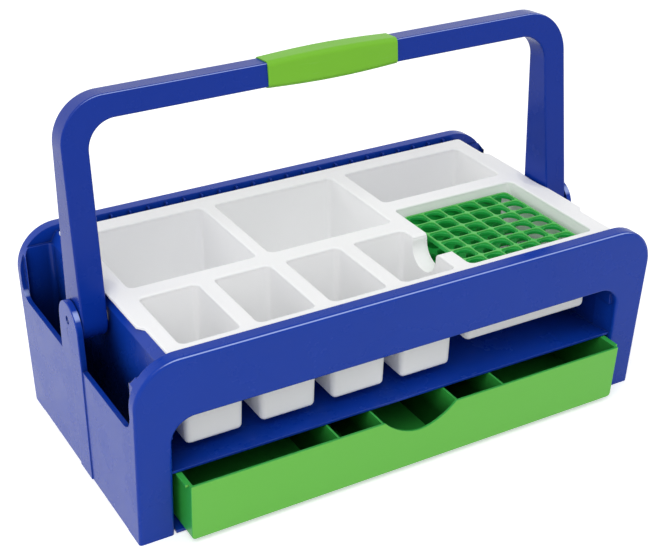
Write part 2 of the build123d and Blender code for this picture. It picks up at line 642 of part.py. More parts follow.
def make_rack_base():
    plate = rack_plate(RACK_LOW, RACK_PLATE_T, RACK_DRAIN_R, RACK_SIZE, RACK_SIZE)
    outline = [e for e in plate.edges()
               if e.bounding_box().max.Z < RACK_LOW + 0.01
               and max(abs(e.position_at(0.5).X - RACK_X),
                       abs(e.position_at(0.5).Y - RACK_Y)) > RACK_SIZE / 2 - RACK_CORNER_R]
    return fillet(outline, RACK_FOOT_R)


def make_rack_wall(side):
    """Upright end of the rack that carries its tiers."""
    near, far = RACK_SIZE / 2 - RACK_WALL_T, RACK_SIZE / 2
    y0, y1 = (RACK_Y + near, RACK_Y + far) if side > 0 else (RACK_Y - far, RACK_Y - near)
    half = RACK_SIZE / 2 - RACK_CORNER_R
    return block(RACK_X - half, RACK_X + half, y0, y1, RACK_LOW + RACK_PLATE_T, RACK_TOP_LOW)


def drawer_front_y(z):
    return DRAWER_FRONT + SLOPE * (DRAWER_TOP - z)


def drawer_section(low, high, set_in):
    """Side view of the drawer between two heights, drawn in by a wall."""
    back = DRAWER_BACK - set_in
    return [(drawer_front_y(low) + set_in, low), (back, low), (back, high),
            (drawer_front_y(high) + set_in, high)]


def make_scoop_cut():
    """Finger scoop in the top of the front wall."""
    front = drawer_front_y(DRAWER_TOP) - 1
    wide, deep = SCOOP_HALF, SCOOP_DEPTH
    spots = [(-1.0, 0.0), (-SCOOP_BEND, SCOOP_BEND), (0.0, 1.0), (SCOOP_BEND, SCOOP_BEND),
             (1.0, 0.0)]
    curve = Spline([(wide * x, front, DRAWER_TOP - deep * z) for x, z in spots])
    lid = Polyline([(wide, front, DRAWER_TOP), (wide, front, DRAWER_TOP + 1),
                    (-wide, front, DRAWER_TOP + 1), (-wide, front, DRAWER_TOP)])
    return extrude(make_face([curve, lid]), amount=deep, dir=(0, 1, 0))


def make_drawer_box():
    lo, hi = DRAWER_BOTTOM, DRAWER_TOP
    outer = prism_x(drawer_section(lo, hi, 0.0), -DRAWER_HALF, DRAWER_HALF)
    feet = [e for e in edges_along(outer, Axis.Y) if e.bounding_box().max.Z < lo + 0.01]
    outer = fillet(feet, DRAWER_FOOT_R)
    front = [e for e in outer.edges()
             if abs(e.position_at(0.5).Y - drawer_front_y(e.position_at(0.5).Z)) < 0.01
             and e.bounding_box().min.Z < hi - 0.01]
    outer = fillet(front, DRAWER_EDGE_R)
    inner = prism_x(drawer_section(lo + DRAWER_WALL, hi + 1, DRAWER_WALL),
                    -DRAWER_HALF + DRAWER_WALL, DRAWER_HALF - DRAWER_WALL)
    inner = fillet([e for e in inner.edges() if e.bounding_box().size.Z > DRAWER_WALL],
                   DRAWER_IN_R)
    drawer = outer - inner
    for side in (-1, 1):
        flange = block(DRAWER_HALF - DRAWER_WALL / 2, FLANGE_HALF, DRAWER_FRONT + FLANGE_SET,
                       DRAWER_BACK - FLANGE_SET, hi - FLANGE_T, hi)
        drawer = drawer + to_side(flange, side)
    drawer = drawer - make_scoop_cut()
    return drawer - [divider_tongue(x, 1.0) for x in DIVIDER_X]


def divider_tongue(x, height):
    """The divider's foot, which stands in a groove of the drawer floor."""
    floor = DRAWER_BOTTOM + DRAWER_WALL
    inset = DRAWER_WALL + DIVIDER_SET
    return block(x - DIVIDER_T / 2, x + DIVIDER_T / 2, drawer_front_y(floor) + inset,
                 DRAWER_BACK - inset, floor - DIVIDER_GROOVE, floor + height)


def make_divider(x):
    floor = DRAWER_BOTTOM + DRAWER_WALL
    plate = prism_x(drawer_section(floor, DRAWER_TOP - DIVIDER_HEAD, DRAWER_WALL),
                    x - DIVIDER_T / 2, x + DIVIDER_T / 2)
    return plate + divider_tongue(x, 1.0)


def make_runner(side):
    """Ledge on the inner end wall that carries one flange of the drawer."""
    near = DRAWER_HALF + RUNNER_SIDE
    low = RUNNER_TOP - RUNNER_T
    reach = HALF_W_BASE - RUNNER_SET
    rail = prism_y([(near, RUNNER_TOP), (near, low), (BAY_HALF - 1, low - RUNNER_BRACE),
                    (BAY_HALF, low - RUNNER_BRACE), (BAY_HALF, RUNNER_TOP)], -reach, reach)
    return to_side(rail, side)


def save(shape, name):
    export_step(shape, "parts/" + name + ".step")


raw_bow = make_bow_raw()
notch_cut = make_notch_cut()
save(make_body_shell(), "body_shell")
save(make_base_plate(), "base_plate")
save(make_base_screws(), "base_screws")
for hand, word in ((-1, "left"), (1, "right")):
    save(make_runner(hand), "drawer_runner_" + word)
    save(make_pivot_pin(hand), "pivot_pin_" + word)
    save(make_pivot_washer(hand), "pivot_washer_" + word)
save(make_handle_bow(raw_bow), "handle_bow")
save(make_handle_grip(raw_bow), "handle_grip")
save(make_insert_rim(notch_cut), "insert_tray")
for number in range(len(WELLS)):
    save(make_insert_well(number, notch_cut), "insert_well_" + str(number + 1))
save(make_rack_top(), "rack_top_plate")
save(make_rack_middle(), "rack_middle_plate")
save(make_rack_base(), "rack_base_plate")
save(make_rack_wall(-1), "rack_end_front")
save(make_rack_wall(1), "rack_end_back")
save(make_drawer_box(), "drawer_box")
for number in range(len(DIVIDER_X)):
    save(make_divider(DIVIDER_X[number]), "drawer_divider_" + str(number + 1))
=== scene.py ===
# Carry organizer for blood collection tubes: a blue moulded body with a folding bow
# handle, a white lift-out insert, a green tube rack and a green drawer.
import math

import bpy
from bpy.props import FloatProperty, FloatVectorProperty, PointerProperty
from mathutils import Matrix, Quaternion, Vector


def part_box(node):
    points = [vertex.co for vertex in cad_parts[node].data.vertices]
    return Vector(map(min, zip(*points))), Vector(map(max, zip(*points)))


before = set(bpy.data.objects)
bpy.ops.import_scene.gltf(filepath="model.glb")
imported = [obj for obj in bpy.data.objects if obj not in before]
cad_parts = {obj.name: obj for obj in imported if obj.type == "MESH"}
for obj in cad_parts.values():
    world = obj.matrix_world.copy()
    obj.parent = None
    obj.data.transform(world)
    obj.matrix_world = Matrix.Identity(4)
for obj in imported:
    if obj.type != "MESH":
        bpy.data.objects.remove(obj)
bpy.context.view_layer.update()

bl_info = {
    "name": "Tube Carry Organizer",
    "version": (1, 0, 0),
    "blender": (4, 5, 0),
    "location": "View3D > Sidebar > Organizer",
    "description": "Dresses the carry organizer: moulded plastics, grip, hardware and studio",
    "category": "Object",
}

# ---- heights at which painted highlight and painted shade change, in metres -------------
RIDGE_DEPTH = 0.0010        # from the rack's top down to where the painted highlight of the ridges ends
RIDGE_BAND = 0.0006         # height of the soft step there
DIVIDER_DEPTH = 0.022       # from a divider's top down to where its painted shade is full
DIVIDER_BAND = 0.020        # height over which the painted shade clears
RIDGE_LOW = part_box("rack_top_plate")[1][2] - RIDGE_DEPTH
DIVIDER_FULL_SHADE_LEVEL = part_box("drawer_divider_1")[1][2] - DIVIDER_DEPTH

# ---- tones, painted shade, painted highlight and gloss ----------------------------------
BODY_PAINTED_SHADE = (0.085, 0.14)     # reach of the painted shade in hollows, and the least of the colour that is left
DRAWER_PAINTED_SHADE = (0.080, 0.07)
DIVIDER_PAINTED_SHADE = 0.2             # share of the drawer's green left low on the dividers as painted shade
PIN_SHADE = 0.6                 # share of the body's blue left on the pins
SMALL_PART_ROUGHNESS = 0.4
GRIP_ROUGHNESS = 0.46
RUBBED_PALE = (0.85, 0.86, 0.88, 1.0)
EDGE_HIGHLIGHT_SHARE = 0.14                # share of painted highlight in the colour of moulded edges
HIGHLIGHT_LEAST = 0.30                # least value of that painted highlight tone

# ---- lamps: size, place and aim ---------------------------------------------------------
KEY_LAMP = ((1.4, 1.4), (-0.9, -1.1, 1.9), (0, 0, 0.08))
SIDE_LAMP = ((1.4, 0.9), (-1.7, 0.9, 0.7), (0, 0, 0.08))
EDGE_LAMP = ((0.5, 0.5), (0.9, -1.0, 1.65), (0, 0, 0.1))
FLOOR_LIFT = 0.50           # own light of the floor, only where it is seen

# ---- camera of the product view ------------------------------------------------------
VIEW_AZIMUTH = -29.701
VIEW_ELEVATION = 28.814
VIEW_ROLL = 0.051
VIEW_DISTANCE = 1.03086
VIEW_TARGET = (-0.002433, 0.003224, 0.085226)
SENSOR_WIDTH = 36.0
LENS = 75.05
SHIFT_X = 0.0017
SHIFT_Y = 0.0187


def colour_property(label, words, default):
    return FloatVectorProperty(name=label, description=words, default=default,
                               subtype="COLOR", size=3, min=0.0, max=1.0)


class PlasticSettings(bpy.types.PropertyGroup):
    """Colours and surface of the moulded parts."""
    shell_blue: colour_property("Body blue", "Carry body", (0.004, 0.042, 0.370))
    handle_blue: colour_property("Handle blue", "Bow handle", (0.003, 0.031, 0.305))
    glint_blue: colour_property("Glint", "Line of light on rounded upper edges",
                                (0.33, 0.42, 0.80))
    grip_green: colour_property("Grip green", "Soft sleeve on the bow handle",
                                (0.170, 0.490, 0.016))
    rack_green: colour_property("Rack green", "Tube rack tiers and ends", (0.016, 0.410, 0.068))
    # painted highlight: a lighter green on the tops of the rack's ridges
    ridge_highlight_green: colour_property("Ridge green", "Thin ridges on top of the rack",
                                 (0.105, 0.560, 0.105))
    drawer_green: colour_property("Drawer green", "Drawer walls and dividers",
                                  (0.040, 0.430, 0.060))
    # painted light: a lighter green for faces that look to the drawer side
    lit_front_green: colour_property("Drawer front", "Outside of the drawer's front",
                                 (0.150, 0.550, 0.066))
    insert_white: colour_property("Insert white", "Lift-out insert with the wells",
                                  (0.965, 0.968, 0.972))
    pin_steel: colour_property("Screw steel", "Screws of the bottom cover", (0.60, 0.60, 0.61))
    washer_grey: colour_property("Washer", "Slip washers beside the handle legs",
                                 (0.70, 0.70, 0.68))
    shell_roughness: FloatProperty(
        name="Body roughness", description="How matt the blue moulding is", default=0.26,
        min=0.0, max=1.0, subtype="FACTOR")
    insert_roughness: FloatProperty(
        name="Insert roughness", description="How matt the white insert is", default=0.42,
        min=0.0, max=1.0, subtype="FACTOR")
    green_roughness: FloatProperty(
        name="Green roughness", description="How matt the drawer and the rack are", default=0.34,
        min=0.0, max=1.0, subtype="FACTOR")
    grain_size: FloatProperty(
        name="Mould grain", description="Width of one grain of the moulded texture",
        default=0.0006, min=0.0001, max=0.01, unit="LENGTH")
    edge_radius: FloatProperty(
        name="Edge softness", description="Radius that catches light along moulded edges",
        default=0.0007, min=0.0, max=0.005, unit="LENGTH")


class StudioSettings(bpy.types.PropertyGroup):
    """Floor, light and camera."""
    floor_size: FloatProperty(
        name="Floor", description="Side of the square floor", default=14.0, min=1.0, unit="LENGTH")
    floor_tone: FloatProperty(
        name="Floor tone", description="Grey value of the pale floor", default=0.86,
        min=0.0, max=1.0, subtype="FACTOR")
    room_light: FloatProperty(
        name="Room light", description="Even light from all round", default=0.62, min=0.0)
    key_power: FloatProperty(
        name="Key light", description="Large soft light above the left front", default=20.0,
        min=0.0, unit="POWER")
    side_power: FloatProperty(
        name="Side light", description="Soft light at the left end", default=5.0,
        min=0.0, unit="POWER")
    edge_power: FloatProperty(
        name="Edge light", description="Small lamp that draws a line along the panel tops",
        default=1.5, min=0.0, unit="POWER")
    lens: FloatProperty(
        name="Lens", description="Focal length of the product view", default=LENS,
        min=10.0, unit="CAMERA")


# ---- shader helpers -------------------------------------------------------------------
def add_node(tree, kind, **values):
    """A node with its attributes or input values set by name."""
    node = tree.nodes.new(kind)
    for name, value in values.items():
        if hasattr(node, name):
            setattr(node, name, value)
        else:
            node.inputs[name.replace("_", " ")].default_value = value
    return node


def new_group(name, inputs, outputs):
    """An empty shader group with named sockets: (label, kind, default)."""
    tree = bpy.data.node_groups.new(name, "ShaderNodeTree")
    for label, kind, default in inputs:
        socket = tree.interface.new_socket(label, in_out="INPUT", socket_type="NodeSocket" + kind)
        socket.default_value = default
    for label, kind in outputs:
        tree.interface.new_socket(label, in_out="OUTPUT", socket_type="NodeSocket" + kind)
    tree.nodes.new("NodeGroupInput")
    tree.nodes.new("NodeGroupOutput")
    return tree


def ends(tree):
    return tree.nodes["Group Input"].outputs, tree.nodes["Group Output"].inputs


def mould_grain_group():
    """Fine eroded texture of a mould: a height and a slight change of gloss."""
    tree = new_group("mould_grain", [("Grain", "Float", 0.0006)],
                     [("Height", "Float"), ("Gloss", "Float")])
    given, out = ends(tree)
    place = add_node(tree, "ShaderNodeTexCoord")
    rate = add_node(tree, "ShaderNodeMath", operation="DIVIDE")
    rate.inputs[0].default_value = 1.0
    tree.links.new(given["Grain"], rate.inputs[1])
    fine = add_node(tree, "ShaderNodeTexNoise", Detail=3.0, Roughness=0.6)
    tree.links.new(place.outputs["Object"], fine.inputs["Vector"])
    tree.links.new(rate.outputs[0], fine.inputs["Scale"])
    broad = add_node(tree, "ShaderNodeTexNoise", Scale=34.0, Detail=4.0, Roughness=0.55)
    tree.links.new(place.outputs["Object"], broad.inputs["Vector"])
    gloss = add_node(tree, "ShaderNodeMapRange", From_Min=0.3, From_Max=0.7, To_Min=-0.035,
                     To_Max=0.045)
    tree.links.new(broad.outputs["Fac"], gloss.inputs["Value"])
    tree.links.new(fine.outputs["Fac"], out["Height"])
    tree.links.new(gloss.outputs["Result"], out["Gloss"])
    return tree


def flow_tone_group():
    """Colour of a moulded plastic: cloudy flow and paler rubbed streaks."""
    tree = new_group("flow_tone", [("Colour", "Color", (0.5, 0.5, 0.5, 1.0)),
                                   ("Cloud", "Float", 0.06), ("Rub", "Float", 0.05)],
                     [("Colour", "Color"), ("Rubbed", "Float")])
    given, out = ends(tree)
    place = add_node(tree, "ShaderNodeTexCoord")
    cloud = add_node(tree, "ShaderNodeTexNoise", Scale=9.0, Detail=5.0, Roughness=0.6)
    tree.links.new(place.outputs["Object"], cloud.inputs["Vector"])
    level = add_node(tree, "ShaderNodeMapRange", From_Min=0.3, From_Max=0.7)
    tree.links.new(cloud.outputs["Fac"], level.inputs["Value"])
    less = add_node(tree, "ShaderNodeMath", operation="SUBTRACT")
    less.inputs[0].default_value = 1.0
    more = add_node(tree, "ShaderNodeMath", operation="ADD")
    more.inputs[0].default_value = 1.0
    for step in (less, more):
        tree.links.new(given["Cloud"], step.inputs[1])
    tree.links.new(less.outputs[0], level.inputs["To Min"])
    tree.links.new(more.outputs[0], level.inputs["To Max"])
    shade = add_node(tree, "ShaderNodeVectorMath", operation="SCALE")
    tree.links.new(given["Colour"], shade.inputs[0])
    tree.links.new(level.outputs["Result"], shade.inputs["Scale"])
    stretch = add_node(tree, "ShaderNodeMapping")
    stretch.inputs["Scale"].default_value = (26.0, 210.0, 300.0)
    stretch.inputs["Rotation"].default_value = (0.3, 0.2, 0.5)
    tree.links.new(place.outputs["Object"], stretch.inputs["Vector"])
    streak = add_node(tree, "ShaderNodeTexNoise", Scale=1.0, Detail=6.0, Roughness=0.7)
    tree.links.new(stretch.outputs["Vector"], streak.inputs["Vector"])
    rare = add_node(tree, "ShaderNodeMapRange", From_Min=0.60, From_Max=0.78)
    tree.links.new(streak.outputs["Fac"], rare.inputs["Value"])
    amount = add_node(tree, "ShaderNodeMath", operation="MULTIPLY")
    tree.links.new(rare.outputs["Result"], amount.inputs[0])
    tree.links.new(given["Rub"], amount.inputs[1])
    pale = add_node(tree, "ShaderNodeMix", data_type="RGBA")
    pale.inputs["B"].default_value = RUBBED_PALE
    tree.links.new(amount.outputs[0], pale.inputs["Factor"])
    tree.links.new(shade.outputs["Vector"], pale.inputs["A"])
    tree.links.new(pale.outputs["Result"], out["Colour"])
    tree.links.new(rare.outputs["Result"], out["Rubbed"])
    return tree


def edge_mask_group():
    """Finds moulded edges: a mask that is 1 on them, and a normal that softens them."""
    tree = new_group("edge_mask", [("Radius", "Float", 0.0007)],
                     [("Mask", "Float"), ("Normal", "Vector")])
    given, out = ends(tree)
    soft = add_node(tree, "ShaderNodeBevel", samples=8)
    tree.links.new(given["Radius"], soft.inputs["Radius"])
    flat = tree.nodes.new("ShaderNodeNewGeometry")
    same = add_node(tree, "ShaderNodeVectorMath", operation="DOT_PRODUCT")
    tree.links.new(soft.outputs["Normal"], same.inputs[0])
    tree.links.new(flat.outputs["Normal"], same.inputs[1])
    level = add_node(tree, "ShaderNodeMapRange", From_Min=0.995, From_Max=0.90)
    tree.links.new(same.outputs["Value"], level.inputs["Value"])
    tree.links.new(level.outputs["Result"], out["Mask"])
    tree.links.new(soft.outputs["Normal"], out["Normal"])
    return tree


def painted_hollow_shade_group():
    """Painted shade: darkens a colour inside a piece's own deep hollows, from its own ambient
    occlusion.
    """
    tree = new_group("painted_hollow_shade", [("Colour", "Color", (0.5, 0.5, 0.5, 1.0)),
                                     ("Reach", "Float", 0.05), ("Least", "Float", 0.3)],
                     [("Colour", "Color")])
    given, out = ends(tree)
    open_sky = add_node(tree, "ShaderNodeAmbientOcclusion", samples=8, only_local=True)
    tree.links.new(given["Reach"], open_sky.inputs["Distance"])
    level = add_node(tree, "ShaderNodeMapRange", From_Min=0.15, From_Max=0.80)
    tree.links.new(open_sky.outputs["AO"], level.inputs["Value"])
    tree.links.new(given["Least"], level.inputs["To Min"])
    shade = add_node(tree, "ShaderNodeVectorMath", operation="SCALE")
    tree.links.new(given["Colour"], shade.inputs[0])
    tree.links.new(level.outputs["Result"], shade.inputs["Scale"])
    tree.links.new(shade.outputs["Vector"], out["Colour"])
    return tree


def crest_mask_group():
    """1 above a height, 0 below it, with a soft step between."""
    tree = new_group("crest_mask", [("Height", "Float", 0.1), ("Band", "Float", 0.0004)],
                     [("Mask", "Float")])
    given, out = ends(tree)
    place = add_node(tree, "ShaderNodeTexCoord")
    split = add_node(tree, "ShaderNodeSeparateXYZ")
    tree.links.new(place.outputs["Object"], split.inputs[0])
    over = add_node(tree, "ShaderNodeMath", operation="SUBTRACT")
    tree.links.new(split.outputs["Z"], over.inputs[0])
    tree.links.new(given["Height"], over.inputs[1])
    share = add_node(tree, "ShaderNodeMath", operation="DIVIDE", use_clamp=True)
    tree.links.new(over.outputs[0], share.inputs[0])
    tree.links.new(given["Band"], share.inputs[1])
    tree.links.new(share.outputs[0], out["Mask"])
    return tree


def front_mask_group():
    """1 on faces that look to the drawer side, 0 on all others."""
    tree = new_group("front_mask", [("From", "Float", 0.80), ("To", "Float", 0.95)],
                     [("Mask", "Float")])
    given, out = ends(tree)
    place = add_node(tree, "ShaderNodeTexCoord")
    split = add_node(tree, "ShaderNodeSeparateXYZ")
    tree.links.new(place.outputs["Normal"], split.inputs[0])
    ahead = add_node(tree, "ShaderNodeMath", operation="MULTIPLY")
    ahead.inputs[1].default_value = -1.0
    tree.links.new(split.outputs["Y"], ahead.inputs[0])
    level = add_node(tree, "ShaderNodeMapRange")
    tree.links.new(ahead.outputs[0], level.inputs["Value"])
    tree.links.new(given["From"], level.inputs["From Min"])
    tree.links.new(given["To"], level.inputs["From Max"])
    tree.links.new(level.outputs["Result"], out["Mask"])
    return tree


def upper_edge_group():
    """1 in the middle of rounded edges that turn from the top to the front or the back."""
    tree = new_group("upper_edge", [("From", "Float", 0.44), ("To", "Float", 0.49)],
                     [("Mask", "Float")])
    given, out = ends(tree)
    place = add_node(tree, "ShaderNodeTexCoord")
    split = add_node(tree, "ShaderNodeSeparateXYZ")
    tree.links.new(place.outputs["Normal"], split.inputs[0])
    depth = add_node(tree, "ShaderNodeMath", operation="ABSOLUTE")
    tree.links.new(split.outputs["Y"], depth.inputs[0])
    both = add_node(tree, "ShaderNodeMath", operation="MULTIPLY")
    tree.links.new(split.outputs["Z"], both.inputs[0])
    tree.links.new(depth.outputs[0], both.inputs[1])
    level = add_node(tree, "ShaderNodeMapRange")
    tree.links.new(both.outputs[0], level.inputs["Value"])
    tree.links.new(given["From"], level.inputs["From Min"])
    tree.links.new(given["To"], level.inputs["From Max"])
    tree.links.new(level.outputs["Result"], out["Mask"])
    return tree


def shared(name, maker):
    return bpy.data.node_groups.get(name) or maker()


def place_group(tree, group, **values):
    node = tree.nodes.new("ShaderNodeGroup")
    node.node_tree = group
    for name, value in values.items():
        node.inputs[name].default_value = value
    return node


def mix_colour(tree, share, first, second):
    """Colour socket that goes from the first colour to the second as share goes to 1."""
    mix = add_node(tree, "ShaderNodeMix", data_type="RGBA")
    tree.links.new(share, mix.inputs["Factor"])
    for label, colour in (("A", first), ("B", second)):
        if isinstance(colour, bpy.types.NodeSocket):
            tree.links.new(colour, mix.inputs[label])
        else:
            mix.inputs[label].default_value = (*colour, 1.0)
    return mix.outputs["Result"]


def scaled(tree, socket, factor):
    times = add_node(tree, "ShaderNodeMath", operation="MULTIPLY")
    times.inputs[1].default_value = factor
    tree.links.new(socket, times.inputs[0])
    return times.outputs[0]


def moulded_plastic(name, colour, roughness, settings, cloud=0.05, rub=0.04, depth=0.00002,
                    grain=1.0, specular=0.30, hollow_shade=None, crest=None, front=None,
                    line=None, glint=0.35):
    """Injection-moulded plastic with mould grain, flow clouds, light rubbing and a painted
    highlight on its edges.

    hollow_shade is (reach, least) of painted shade, crest is (height, band, colour), front is a
    colour painted as light on faces that look to the drawer side, line is the colour of a painted
    highlight on rounded upper edges.
    """
    material = bpy.data.materials.new(name)
    material.use_nodes = True
    tree = material.node_tree
    skin = tree.nodes["Principled BSDF"]
    tone = place_group(tree, shared("flow_tone", flow_tone_group), Colour=(*colour, 1.0),
                       Cloud=cloud, Rub=rub)
    shade = tone.outputs["Colour"]
    # painted light: a lighter colour on faces that look to the drawer side
    if front:
        ahead = place_group(tree, shared("front_mask", front_mask_group))
        shade = mix_colour(tree, ahead.outputs["Mask"], shade, front)
    # colour change by height: painted highlight on the rack's ridges, end of the painted shade on
    # the dividers
    if crest:
        height, band, tip = crest
        above = place_group(tree, shared("crest_mask", crest_mask_group), Height=height,
                            Band=band)
        shade = mix_colour(tree, above.outputs["Mask"], shade, tip)
    # painted highlight: moulded edges mixed toward a paler tone
    edge = place_group(tree, shared("edge_mask", edge_mask_group), Radius=settings.edge_radius)
    tint = HIGHLIGHT_LEAST + (1.0 - HIGHLIGHT_LEAST) * max(colour)
    pale = [(1.0 - EDGE_HIGHLIGHT_SHARE) * value + EDGE_HIGHLIGHT_SHARE * tint for value in colour]
    shade = mix_colour(tree, scaled(tree, edge.outputs["Mask"], glint), shade, pale)
    # painted highlight along rounded upper edges
    if line:
        upper = place_group(tree, shared("upper_edge", upper_edge_group))
        shade = mix_colour(tree, upper.outputs["Mask"], shade, line)
    # painted shade in the piece's own hollows
    if hollow_shade:
        reach, least = hollow_shade
        deep = place_group(tree, shared("painted_hollow_shade", painted_hollow_shade_group), Reach=reach,
                           Least=least)
        tree.links.new(shade, deep.inputs["Colour"])
        shade = deep.outputs["Colour"]
    tree.links.new(shade, skin.inputs["Base Color"])
    texture = place_group(tree, shared("mould_grain", mould_grain_group),
                          Grain=settings.grain_size * grain)
    gloss = add_node(tree, "ShaderNodeMath", operation="ADD", use_clamp=True)
    gloss.inputs[0].default_value = roughness
    tree.links.new(texture.outputs["Gloss"], gloss.inputs[1])
    tree.links.new(gloss.outputs[0], skin.inputs["Roughness"])
    bump = add_node(tree, "ShaderNodeBump", Strength=0.35, Distance=depth)
    tree.links.new(texture.outputs["Height"], bump.inputs["Height"])
    tree.links.new(edge.outputs["Normal"], bump.inputs["Normal"])
    tree.links.new(bump.outputs["Normal"], skin.inputs["Normal"])
    skin.inputs["Specular IOR Level"].default_value = specular
    return material


def turned_steel(name, colour):
    """Bright metal of the screws, with a finely uneven gloss."""
    material = bpy.data.materials.new(name)
    material.use_nodes = True
    tree = material.node_tree
    skin = tree.nodes["Principled BSDF"]
    place = add_node(tree, "ShaderNodeTexCoord")
    grain = add_node(tree, "ShaderNodeTexNoise", Scale=900.0, Detail=2.0)
    tree.links.new(place.outputs["Object"], grain.inputs["Vector"])
    tone = add_node(tree, "ShaderNodeMapRange", To_Min=0.22, To_Max=0.42)
    tree.links.new(grain.outputs["Fac"], tone.inputs["Value"])
    tree.links.new(tone.outputs["Result"], skin.inputs["Roughness"])
    tint = place_group(tree, shared("flow_tone", flow_tone_group), Colour=(*colour, 1.0),
                       Cloud=0.08, Rub=0.02)
    tree.links.new(tint.outputs["Colour"], skin.inputs["Base Color"])
    skin.inputs["Metallic"].default_value = 1.0
    return material


def soft_rubber(name, colour, settings):
    """Sleeve of the handle: satin elastomer with a coarser grain and light rubbing."""
    return moulded_plastic(name, colour, GRIP_ROUGHNESS, settings, cloud=0.04, rub=0.05,
                           depth=0.00004, grain=1.3, specular=0.40)


def nodes_of(prefix):
    """Names of the CAD nodes that start with a prefix."""
    names = sorted(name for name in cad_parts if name.startswith(prefix))
    if not names:
        raise RuntimeError("the frame has no node named " + prefix)
    return names


def wear_finish(material, *nodes):
    """Gives CAD nodes this material in place of the one they came with."""
    for name in nodes:
        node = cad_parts[name]
        node.data.materials.clear()
        node.data.materials.append(material)


class OrganizerOperator(bpy.types.Operator):
    """Shared options of the piece operators."""
    bl_options = {"REGISTER", "UNDO"}

    def plastics(self, context):
        return context.scene.organizer_plastics


class ORGANIZER_OT_carry_body(OrganizerOperator):
    """Blue moulded body with its end pockets, pivot ears and shelf"""
    bl_idname = "organizer.carry_body"
    bl_label = "Carry body"

    def execute(self, context):
        given = self.plastics(context)
        # painted shade in the hollows and a painted highlight along rounded upper edges
        blue = moulded_plastic("body_blue", given.shell_blue, given.shell_roughness, given,
                               cloud=0.03, rub=0.0, depth=0.00002, specular=0.17,
                               hollow_shade=BODY_PAINTED_SHADE, line=given.glint_blue)
        wear_finish(blue, "body_shell")
        return {"FINISHED"}


class ORGANIZER_OT_underside(OrganizerOperator):
    """Bottom cover, drawer runners and the screws that hold the cover"""
    bl_idname = "organizer.underside"
    bl_label = "Bottom cover and runners"

    def execute(self, context):
        given = self.plastics(context)
        blue = moulded_plastic("underside_blue", given.shell_blue, given.shell_roughness + 0.06,
                               given, cloud=0.07, rub=0.08, depth=0.00004)
        wear_finish(blue, "base_plate", "drawer_runner_left", "drawer_runner_right")
        wear_finish(turned_steel("screw_steel", given.pin_steel), "base_screws")
        return {"FINISHED"}


class ORGANIZER_OT_pivots(OrganizerOperator):
    """Pivot pins and slip washers of the bow handle"""
    bl_idname = "organizer.pivots"
    bl_label = "Pivot pins and washers"

    def execute(self, context):
        given = self.plastics(context)
        darker = [PIN_SHADE * value for value in given.shell_blue]
        blue = moulded_plastic("pin_blue", darker, SMALL_PART_ROUGHNESS, given, cloud=0.04,
                               rub=0.0)
        wear_finish(blue, *nodes_of("pivot_pin"))
        grey = moulded_plastic("washer_grey", given.washer_grey, SMALL_PART_ROUGHNESS, given)
        wear_finish(grey, *nodes_of("pivot_washer"))
        return {"FINISHED"}


class ORGANIZER_OT_bow_handle(OrganizerOperator):
    """Blue bow handle that folds to the front or the back"""
    bl_idname = "organizer.bow_handle"
    bl_label = "Bow handle"

    def execute(self, context):
        given = self.plastics(context)
        # painted highlight along rounded upper edges
        blue = moulded_plastic("handle_blue", given.handle_blue, given.shell_roughness,
                               given, cloud=0.03, rub=0.0, depth=0.00002, specular=0.16,
                               line=given.glint_blue)
        wear_finish(blue, "handle_bow")
        return {"FINISHED"}


class ORGANIZER_OT_grip(OrganizerOperator):
    """Green sleeve round the bar of the handle"""
    bl_idname = "organizer.grip"
    bl_label = "Handle grip"

    def execute(self, context):
        given = self.plastics(context)
        wear_finish(soft_rubber("grip_green", given.grip_green, given), "handle_grip")
        return {"FINISHED"}


class ORGANIZER_OT_insert(OrganizerOperator):
    """White lift-out insert with eight wells"""
    bl_idname = "organizer.insert_tray"
    bl_label = "Insert tray"

    def execute(self, context):
        given = self.plastics(context)
        white = moulded_plastic("insert_white", given.insert_white, given.insert_roughness, given,
                                cloud=0.015, rub=0.0, depth=0.000015, glint=0.0)
        wear_finish(white, *nodes_of("insert_"))
        return {"FINISHED"}


class ORGANIZER_OT_rack(OrganizerOperator):
    """Green tube rack: three tiers between two upright ends"""
    bl_idname = "organizer.tube_rack"
    bl_label = "Tube rack"

    def execute(self, context):
        given = self.plastics(context)
        # painted highlight on the tops of the ridges
        green = moulded_plastic("rack_green", given.rack_green, given.green_roughness, given,
                                cloud=0.05, rub=0.0,
                                crest=(RIDGE_LOW, RIDGE_BAND, given.ridge_highlight_green))
        wear_finish(green, *nodes_of("rack_"))
        return {"FINISHED"}


class ORGANIZER_OT_drawer(OrganizerOperator):
    """Green drawer with its finger scoop and flanges"""
    bl_idname = "organizer.drawer"
    bl_label = "Drawer"

    def execute(self, context):
        given = self.plastics(context)
        # painted light on faces that look to the drawer side, and painted shade in the hollows
        green = moulded_plastic("drawer_green", given.drawer_green, given.green_roughness, given,
                                cloud=0.03, rub=0.0, front=given.lit_front_green,
                                hollow_shade=DRAWER_PAINTED_SHADE)
        wear_finish(green, "drawer_box")
        return {"FINISHED"}


class ORGANIZER_OT_dividers(OrganizerOperator):
    """Dividers that stand in grooves of the drawer's floor"""
    bl_idname = "organizer.dividers"
    bl_label = "Drawer dividers"

    def execute(self, context):
        given = self.plastics(context)
        # painted shade low on the dividers, clearing toward their tops
        shaded = [DIVIDER_PAINTED_SHADE * value for value in given.drawer_green]
        green = moulded_plastic("divider_green", shaded, given.green_roughness, given,
                                cloud=0.03, rub=0.0,
                                crest=(DIVIDER_FULL_SHADE_LEVEL, DIVIDER_BAND, given.drawer_green))
        wear_finish(green, *nodes_of("drawer_divider"))
        return {"FINISHED"}


